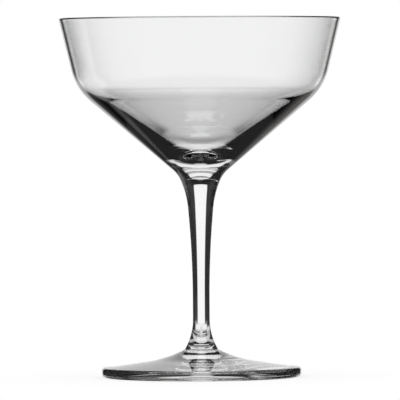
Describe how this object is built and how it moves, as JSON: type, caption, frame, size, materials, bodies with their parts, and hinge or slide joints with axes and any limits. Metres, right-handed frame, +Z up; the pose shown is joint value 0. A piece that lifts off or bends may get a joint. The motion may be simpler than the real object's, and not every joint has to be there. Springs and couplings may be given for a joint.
{
  "type": "martini glass",
  "caption": "Clear stemmed cocktail glass: a wide bowl with a leaning wall over a steep cone, a slim waisted stem and a round coned foot.",
  "frame": {"origin": "centre of the ring that the foot rests on, on the table", "axes": "+Z up along the axis of the stem; the glass is round about Z, so X and Y are any two level directions"},
  "size_m": [0.107, 0.107, 0.1365],
  "materials": {
    "bowl_glass": "clear fire-polished crystal glass",
    "stem_glass": "clear drawn crystal glass",
    "foot_glass": "clear pressed and fire-polished crystal glass"
  },
  "bodies": {
    "root": {"bowl": "bowl_glass", "stem": "stem_glass", "foot": "foot_glass"}
  },
  "joints": []
}
